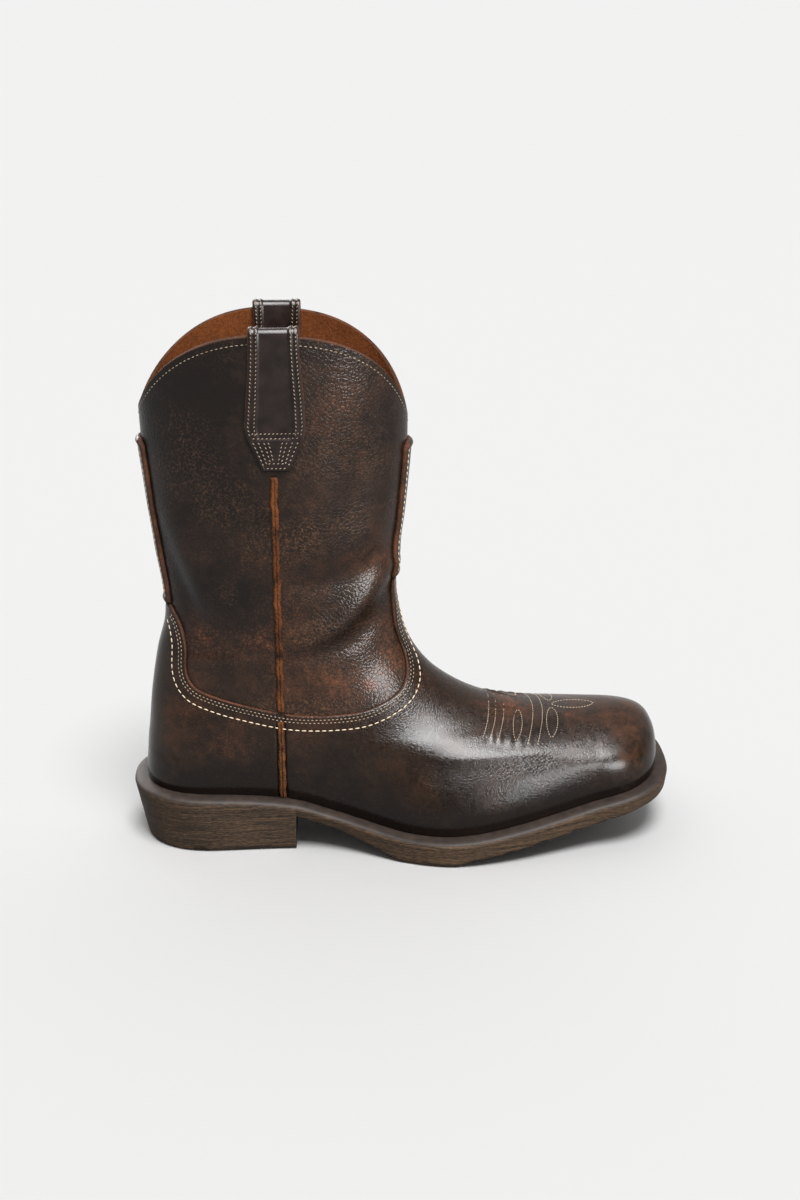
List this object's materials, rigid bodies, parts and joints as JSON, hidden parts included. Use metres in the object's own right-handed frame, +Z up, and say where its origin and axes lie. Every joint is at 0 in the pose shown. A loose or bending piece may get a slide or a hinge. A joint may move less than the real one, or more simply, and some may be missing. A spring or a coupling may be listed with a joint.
{
  "type": "western boot",
  "caption": "Pull-on western boot with a wide square toe, scalloped collar, pull straps and a moulded sole with a low block heel",
  "frame": {"origin": "under the middle of the bounding box, on the floor", "axes": "+X from heel to toe, +Z up, +Y towards the inner side of a right boot"},
  "size_m": [0.312, 0.1158, 0.3022],
  "materials": {
    "sole_rubber": "matte, moulded with a wood-like striation",
    "insole_board": "matte",
    "shaft_leather": "waxed, soft sheen",
    "foot_leather": "waxed and burnished, satin",
    "strip_leather": "satin",
    "cord_leather": "raw edge, matte",
    "strap_leather": "smooth, satin"
  },
  "bodies": {
    "root": {"outsole": "sole_rubber", "insole": "insole_board", "upper": "shaft_leather", "vamp": "foot_leather", "counter": "foot_leather", "front_strip": "strip_leather", "back_strip": "strip_leather", "shaft_cord_outer": "cord_leather", "shaft_cord_inner": "cord_leather", "foot_cord_outer": "cord_leather", "foot_cord_inner": "cord_leather", "pull_strap_outer": "strap_leather", "pull_strap_inner": "strap_leather"}
  },
  "joints": []
}
